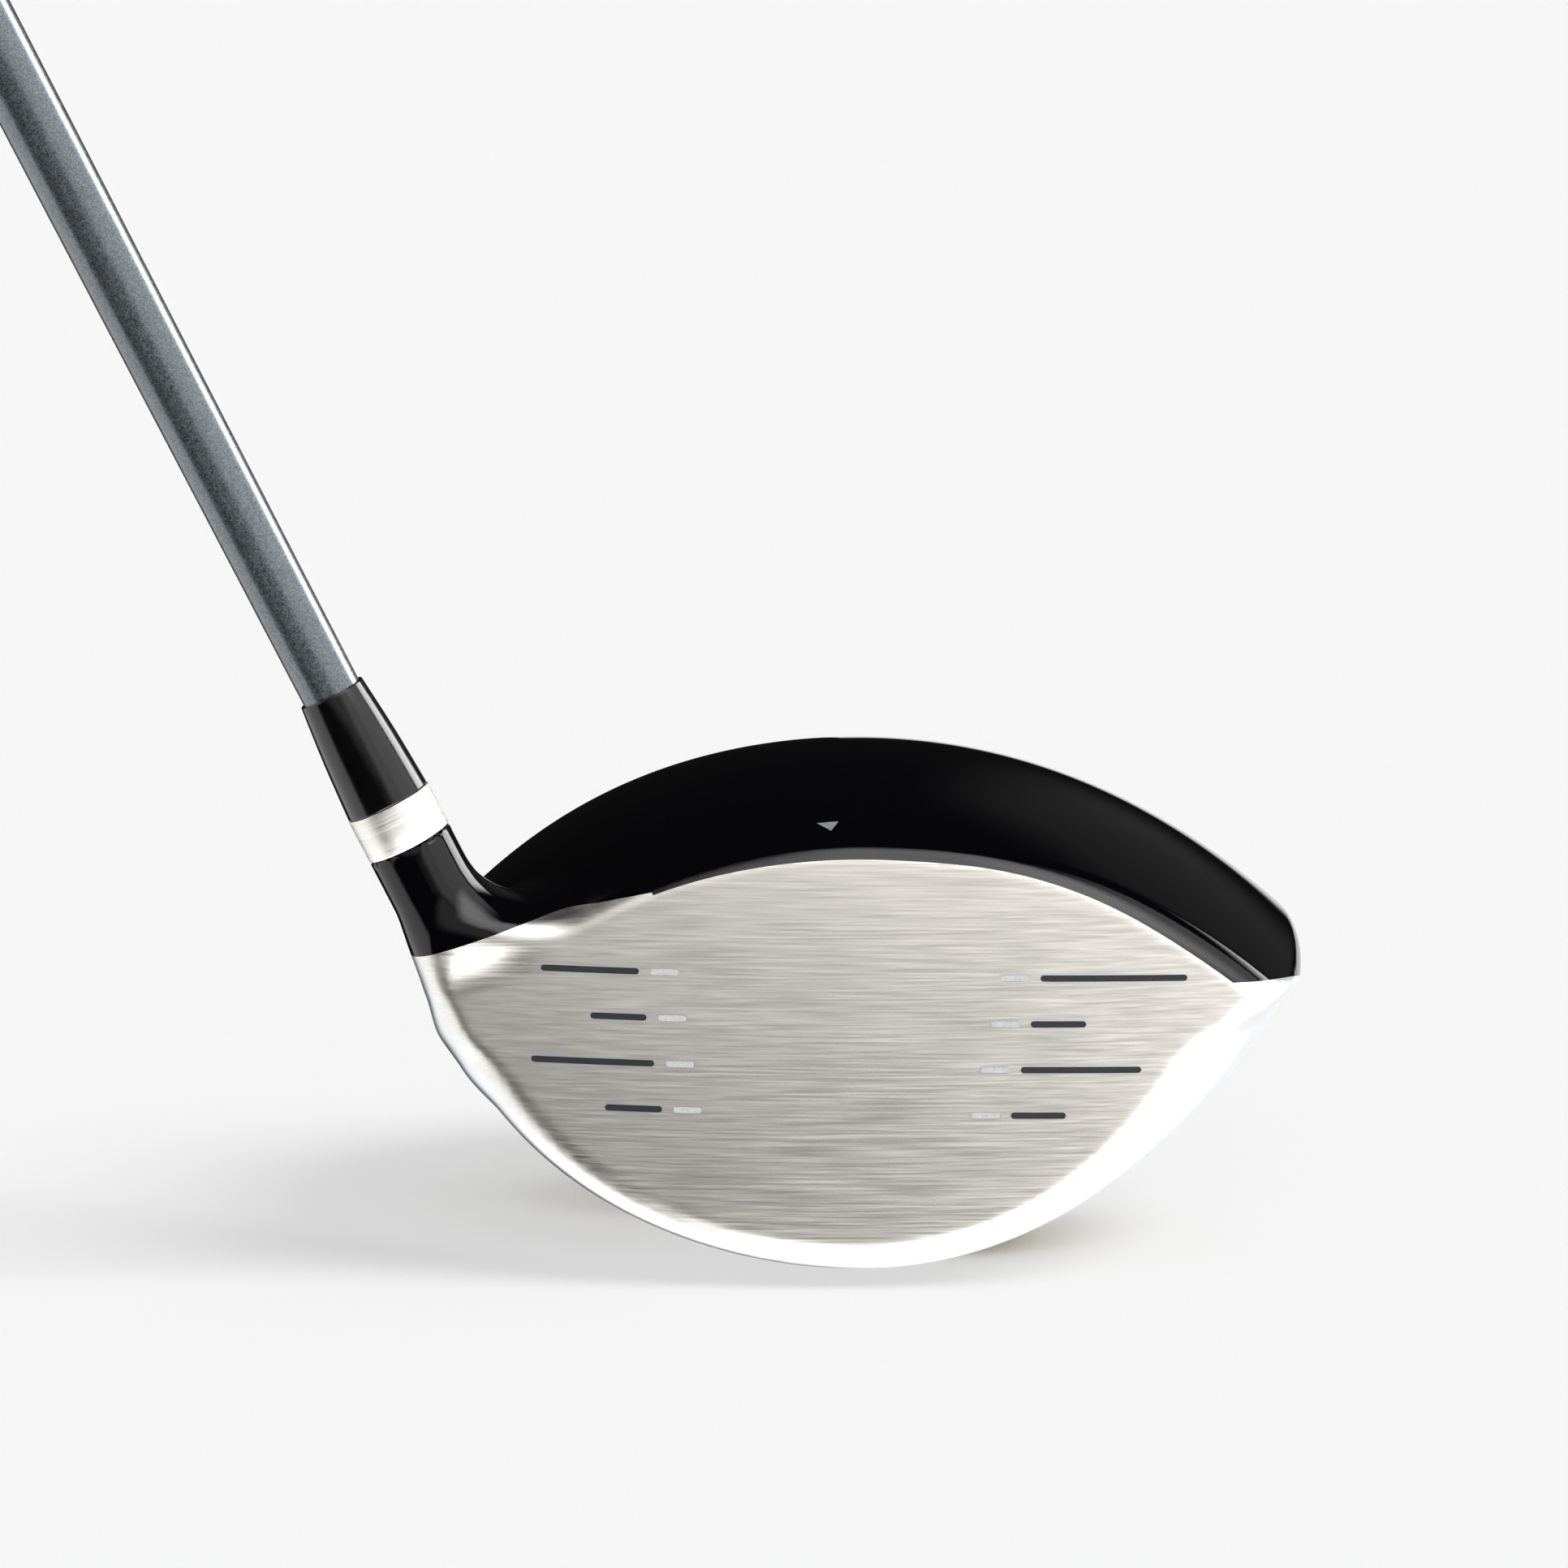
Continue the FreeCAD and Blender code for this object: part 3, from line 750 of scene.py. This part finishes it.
def thick(points, faces, drop):
    """Close an open sheet with a copy of itself below it."""
    count = len(points)
    edges = {(f[k], f[(k + 1) % len(f)]) for f in faces for k in range(len(f))}
    rim = [(a, b) for a, b in edges if (b, a) not in edges]
    below = points - np.array([0, 0, drop])
    return (np.concatenate([points, below]),
            faces + [tuple(v + count for v in reversed(f)) for f in faces]
            + [(b, a, a + count, b + count) for a, b in rim])


mark_points, mark_faces = thick(*mark_mesh(), 0.2)
add_mesh("alignment_print", row(mark_points), mark_faces,
         nodes=["alignment_mark"], finish=GREY_INK, slot="grey_ink")

# ------------------------------------------------------------------ ferrule, shaft and grip
RING_END, FERRULE_END = 73.2, 90.4
RING_RADIUS, SLEEVE, BORE = 6.15, 5.1, 4.27
ring_outline = rounded([(NECK_TOP + 0.05, SLEEVE + 0.05), (RING_END, SLEEVE + 0.05), (RING_END, RING_RADIUS),
                        (NECK_TOP + 0.05, RING_RADIUS)], [0.05, 0.05, 0.25, 0.25])
add_mesh("ferrule_collar", *lathe(ring_outline, 160), nodes=["ferrule_ring"], finish=RING_METAL,
         slot="brushed_ring")
ferrule_outline = rounded([(NECK_TOP + 0.05, BORE), (FERRULE_END, BORE), (FERRULE_END, 4.72), (82, 5.56),
                           (RING_END + 0.05, 6.08), (RING_END + 0.05, SLEEVE), (NECK_TOP + 0.05, SLEEVE)],
                          [0.05, 0.05, 0.3, 6, 0.2, 0.05, 0.05])
add_mesh("ferrule_cone", *lathe(ferrule_outline, 160),
         nodes=["ferrule"], finish=PLASTIC, slot="black_plastic")

LENGTH, GRIP_LENGTH = 1143.0, 267.0
SHAFT_START, PARALLEL, TIP_RADIUS, BUTT_RADIUS, SHAFT_WALL = 34.5, 62.0, 4.25, 7.62, 1.3
CAP_THICKNESS, CAP_RADIUS, VENT_RADIUS = 3.4, 15.2, 1.5
GRIP_RADII = (9.4, 13.4)
BEAD = (2.5, 10.0)


def shaft_radius(distance):
    share = np.maximum(distance - SHAFT_START - PARALLEL, 0) / (LENGTH - SHAFT_START - PARALLEL)
    return TIP_RADIUS + (BUTT_RADIUS - TIP_RADIUS) * share


shaft_end = LENGTH - CAP_THICKNESS
stations = np.concatenate([[SHAFT_START], np.linspace(SHAFT_START + 0.3, shaft_end - 0.3, 60), [shaft_end]])
outside = np.column_stack([stations, shaft_radius(stations)])
outside[[0, -1], 1] -= 0.3
inside = np.array([(shaft_end, BUTT_RADIUS - SHAFT_WALL), (SHAFT_START, TIP_RADIUS - SHAFT_WALL)])
add_mesh("shaft", *lathe(np.concatenate([inside[::-1][:1], inside[:1], outside[::-1]]), 144),
         nodes=["shaft_tube"], finish=SHAFT_PAINT, slot="shaft_paint")

GRIP_START = LENGTH - GRIP_LENGTH
TREAD_PITCH, TREAD_DEPTH, TREAD_COLUMNS = 5.2, 0.42, 14


def tread(s, turn):
    """Rows of short slanting cuts, every other row leaning the other way, between plain rings."""
    column = turn / (2 * math.pi) * TREAD_COLUMNS
    line = (s - GRIP_START) / TREAD_PITCH
    lean = np.where(np.floor(line) % 2 == 0, 1.0, -1.0)
    across = (column + 0.5 * np.floor(line) + lean * 0.42 * (line % 1 - 0.5)) % 1 - 0.5
    cut_width = smooth((0.15 - np.abs(across)) / 0.09)
    cut_length = smooth((0.42 - np.abs(line % 1 - 0.5)) / 0.14)
    cuts = cut_width * cut_length
    ends = smooth((s - GRIP_START - 14) / 4) * smooth((LENGTH - 22 - s) / 4)
    centre = np.abs((s - GRIP_START) - 0.56 * GRIP_LENGTH)
    rings = 0.35 * smooth((1.1 - np.abs(centre - 9)) / 0.6) + 0.35 * smooth((1.1 - np.abs(centre - 4)) / 0.6)
    plain = smooth((centre - 11) / 2)
    return -(TREAD_DEPTH * cuts * plain * ends + rings)


grip_rows = 900
bead_length, bead_radius = BEAD
front = rounded([(GRIP_START, shaft_radius(GRIP_START) + 0.34), (GRIP_START, bead_radius),
                 (GRIP_START + bead_length, bead_radius), (GRIP_START + bead_length, GRIP_RADII[0]),
                 (GRIP_START + bead_length + 2, GRIP_RADII[0] + 0.02)], [0.05, 0.7, 0.7, 0.3, 0])[4:]
along = np.linspace(GRIP_START + bead_length + 2.2, shaft_end - 0.02, grip_rows)
share = (along - GRIP_START - bead_length) / (shaft_end - GRIP_START - bead_length)
swell = GRIP_RADII[0] + (GRIP_RADII[1] - GRIP_RADII[0]) * share
grip_line = (front + list(zip(along, swell)) + [(shaft_end - 0.02, BUTT_RADIUS + 0.34)])
add_mesh("grip", *lathe(grip_line[::-1], 240, tread),
         nodes=["grip_sleeve"], finish=RUBBER, slot="grip_rubber",
         sharp=50)

cap_start = LENGTH - CAP_THICKNESS + 0.05
cap_outline = rounded([(cap_start, VENT_RADIUS), (cap_start, CAP_RADIUS), (LENGTH, CAP_RADIUS),
                       (LENGTH, CAP_RADIUS - 3.4), (LENGTH - 0.6, CAP_RADIUS - 4.0), (LENGTH - 0.6, 5.2),
                       (LENGTH, 4.6), (LENGTH, VENT_RADIUS)],
                      [0.05, 0.9, 1.3, 0.3, 0.3, 0.3, 0.3, 0.3])
add_mesh("butt_cap", *lathe(cap_outline[::-1], 200), nodes=["grip_cap"], finish=RUBBER, slot="grip_rubber")

# ------------------------------------------------------------------ CAD nodes that stay
STEEL = turned_metal("screw_steel", (0.44, 0.44, 0.45), (0.25, 0.4), 0.0, 3000)
WEIGHT = turned_metal("weight_metal", (0.36, 0.36, 0.37), (0.3, 0.45), 0.0, 5000)
STAYING = {
    "hosel_tube": bare_titanium("bare_titanium"),
    "bore_stop": cast("stop_plastic", (0.02, 0.02, 0.021)),
    "weight_port": bare_titanium("port_titanium", (0.52, 0.51, 0.50)),
    "weight_slug": WEIGHT,
    "weight_screw": STEEL,
    "swing_weight_pad": cast("hot_glue", (0.62, 0.55, 0.36), rough=(0.25, 0.4), scale=300, depth=0.0001),
    "catch_glue": cast("catch_glue", (0.62, 0.55, 0.36), rough=(0.25, 0.4), scale=260, depth=0.0001),
    "tip_weight": turned_metal("brass", (0.72, 0.48, 0.20)),
    "hosel_epoxy": cast("epoxy", (0.42, 0.33, 0.16), rough=(0.15, 0.3)),
    "grip_tape": cast("paper_tape", (0.60, 0.52, 0.36), rough=(0.7, 0.9), scale=1600),
}
for name, finish in STAYING.items():
    node = frame["nodes"][name]
    for slot in node.material_slots or [None]:
        if slot is None:
            node.data.materials.append(finish)
        else:
            slot.material = finish

# ------------------------------------------------------------------ camera
ELEVATION = math.radians(10.0)
DISTANCE, FRAME_WIDTH = 1.7, 0.2198
target = Vector(row((-10.7, 30.0, 64.97)))
camera = bpy.data.objects.new("camera", bpy.data.cameras.new("camera"))
bpy.context.collection.objects.link(camera)
camera.location = target + DISTANCE * Vector((0, -math.cos(ELEVATION), math.sin(ELEVATION)))
camera.rotation_euler = (math.pi / 2 - ELEVATION, 0, 0)
camera.data.sensor_width = 36
camera.data.lens = 36 * DISTANCE / FRAME_WIDTH
camera.data.clip_start, camera.data.clip_end = 0.05, 400
bpy.context.scene.camera = camera
bpy.context.scene.view_settings.view_transform = "Standard"

# ------------------------------------------------------------------ floor, backdrop and light
GROUND = float(HEAD_ORIGIN[2]) - 0.0003
BACKDROP = 0.905                                # linear value of the pale background


def plain(name, color, strength=0.0):
    made = bpy.data.materials.new(name)
    made.use_nodes = True
    shader = made.node_tree.nodes["Principled BSDF"]
    shader.inputs["Base Color"].default_value = (*color, 1)
    shader.inputs["Roughness"].default_value = 1.0
    shader.inputs["Specular IOR Level"].default_value = 0.0
    shader.inputs["Emission Color"].default_value = (1, 1, 1, 1)
    shader.inputs["Emission Strength"].default_value = strength
    return made


def disc(radius, count=96):
    ring = [(radius * math.cos(2 * math.pi * k / count), radius * math.sin(2 * math.pi * k / count), 0)
            for k in range(count)]
    return ring, [tuple(range(count))]


floor = add_mesh("floor", *disc(90), body=None, finish=plain("floor", (0.88, 0.88, 0.88), 0.0))
floor.location = (0, 0, GROUND)
floor.visible_glossy = False

ball = bmesh.new()
bmesh.ops.create_icosphere(ball, subdivisions=5, radius=90)
dome_mesh = bpy.data.meshes.new("backdrop")
ball.to_mesh(dome_mesh)
ball.free()
dome = bpy.data.objects.new("backdrop", dome_mesh)
dome.location = (0, 0, GROUND)
bpy.context.collection.objects.link(dome)
dome_mesh.materials.append(plain("backdrop", (0, 0, 0), BACKDROP))
dome.visible_diffuse = dome.visible_glossy = dome.visible_transmission = dome.visible_shadow = False


def light(name, kind, energy, toward, **facts):
    """A light that shines from a direction, given as azimuth from the camera to the right, and elevation."""
    azimuth, elevation, distance = math.radians(toward[0]), math.radians(toward[1]), toward[2]
    data = bpy.data.lights.new(name, kind)
    data.energy = energy
    for key, value in facts.items():
        setattr(data, key, value)
    lamp = bpy.data.objects.new(name, data)
    way = Vector((math.sin(azimuth) * math.cos(elevation), -math.cos(azimuth) * math.cos(elevation),
                  math.sin(elevation)))
    lamp.location = Vector(row((0, 40, 35))) + way * distance
    lamp.rotation_euler = way.to_track_quat("Z", "Y").to_euler()
    bpy.context.collection.objects.link(lamp)
    return lamp


key = light("key", "SUN", 1.5, (75, 45, 5), angle=math.radians(40))
front_light = light("front", "SUN", 0.75, (-30, 38, 5), angle=math.radians(60))
fill = light("fill", "SUN", 1.8, (0, 89, 5), angle=math.radians(165))
for sun in (key, front_light, fill):
    sun.visible_glossy = False


class Studio:
    """The surroundings that the club mirrors: softboxes and dark gaps, as a pattern of directions."""

    def __init__(self):
        world = bpy.data.worlds.new("studio")
        bpy.context.scene.world = world
        world.use_nodes = True
        world.cycles_visibility.diffuse = False
        self.nodes, self.links = world.node_tree.nodes, world.node_tree.links
        way = self.nodes.new("ShaderNodeSeparateXYZ")
        self.links.new(self.nodes.new("ShaderNodeTexCoord").outputs["Generated"], way.inputs[0])
        ahead = self.math("MULTIPLY", way.outputs["Y"], -1.0)
        self.azimuth = self.math("MULTIPLY", self.math("ARCTAN2", way.outputs["X"], ahead), 180 / math.pi)
        self.elevation = self.math("MULTIPLY", self.math("ARCSINE", way.outputs["Z"]), 180 / math.pi)
        self.total = None

    def math(self, kind, a, b=None):
        node = self.nodes.new("ShaderNodeMath")
        node.operation = kind
        for socket, value in zip(node.inputs, (a, b)):
            if value is None:
                continue
            if isinstance(value, (int, float)):
                socket.default_value = value
            else:
                self.links.new(value, socket)
        return node.outputs[0]

    def edge(self, at, start, end):
        node = self.nodes.new("ShaderNodeMapRange")
        node.interpolation_type = "SMOOTHSTEP"
        node.inputs["From Min"].default_value = start
        node.inputs["From Max"].default_value = end
        self.links.new(at, node.inputs["Value"])
        return node.outputs["Result"]

    def band(self, at, low, high, soft_low, soft_high):
        rising = self.edge(at, low - soft_low, low + soft_low)
        falling = self.edge(at, high + soft_high, high - soft_high)
        return self.math("MULTIPLY", rising, falling)

    def card(self, strength, azimuth, elevation):
        """A patch of light; each of the two is (low, high, softness at low, softness at high) in degrees."""
        across, up = self.band(self.azimuth, *azimuth), self.band(self.elevation, *elevation)
        share = self.math("MULTIPLY", across, up)
        light = self.math("MULTIPLY", share, strength)
        self.total = self.math("ADD", self.total, light) if self.total else light

    def finish(self, base):
        background = self.nodes["Background"]
        background.inputs["Color"].default_value = (1, 1, 1, 1)
        self.links.new(self.math("ADD", self.total, base), background.inputs["Strength"])


studio = Studio()
studio.card(0.95, (20, 45, 8, 1), (-10, 62, 10, 12))         # softbox on the right, its near part
studio.card(1.15, (45, 96, 1, 4), (-8, 62, 9, 12))           # and its bright part
studio.card(0.42, (-40, 20, 20, 14), (4, 40, 8, 8))           # spill round the camera
studio.card(2.6, (-20, 60, 20, 20), (34, 80, 8, 8))          # panel over the camera
studio.card(1.05, (-140, -60, 8, 6), (-75, 40, 8, 8))        # strip on the left
studio.card(1.5, (15, 60, 15, 10), (-52, -6, 8, 8))          # low card in front
studio.card(1.3, (-400, 400, 1, 1), (-95, -48, 2, 12))       # bright table below
studio.card(1.9, (60, 128, 10, 8), (-52, 1, 4, 3))           # low card beside the toe
studio.card(7.0, (103, 131, 3, 4), (3, 40, 4, 6))            # card behind the toe
studio.card(0.9, (128, 400, 8, 1), (-50, -1, 8, 2))          # pale floor behind
studio.card(6.5, (-10, 60, 12, 12), (-66, -26, 6, 6))        # bright floor in front, for the face's foot
studio.card(0.07, (138, 170, 8, 6), (8, 40, 6, 8))           # weak card behind the crown's toe side
studio.finish(0.008)
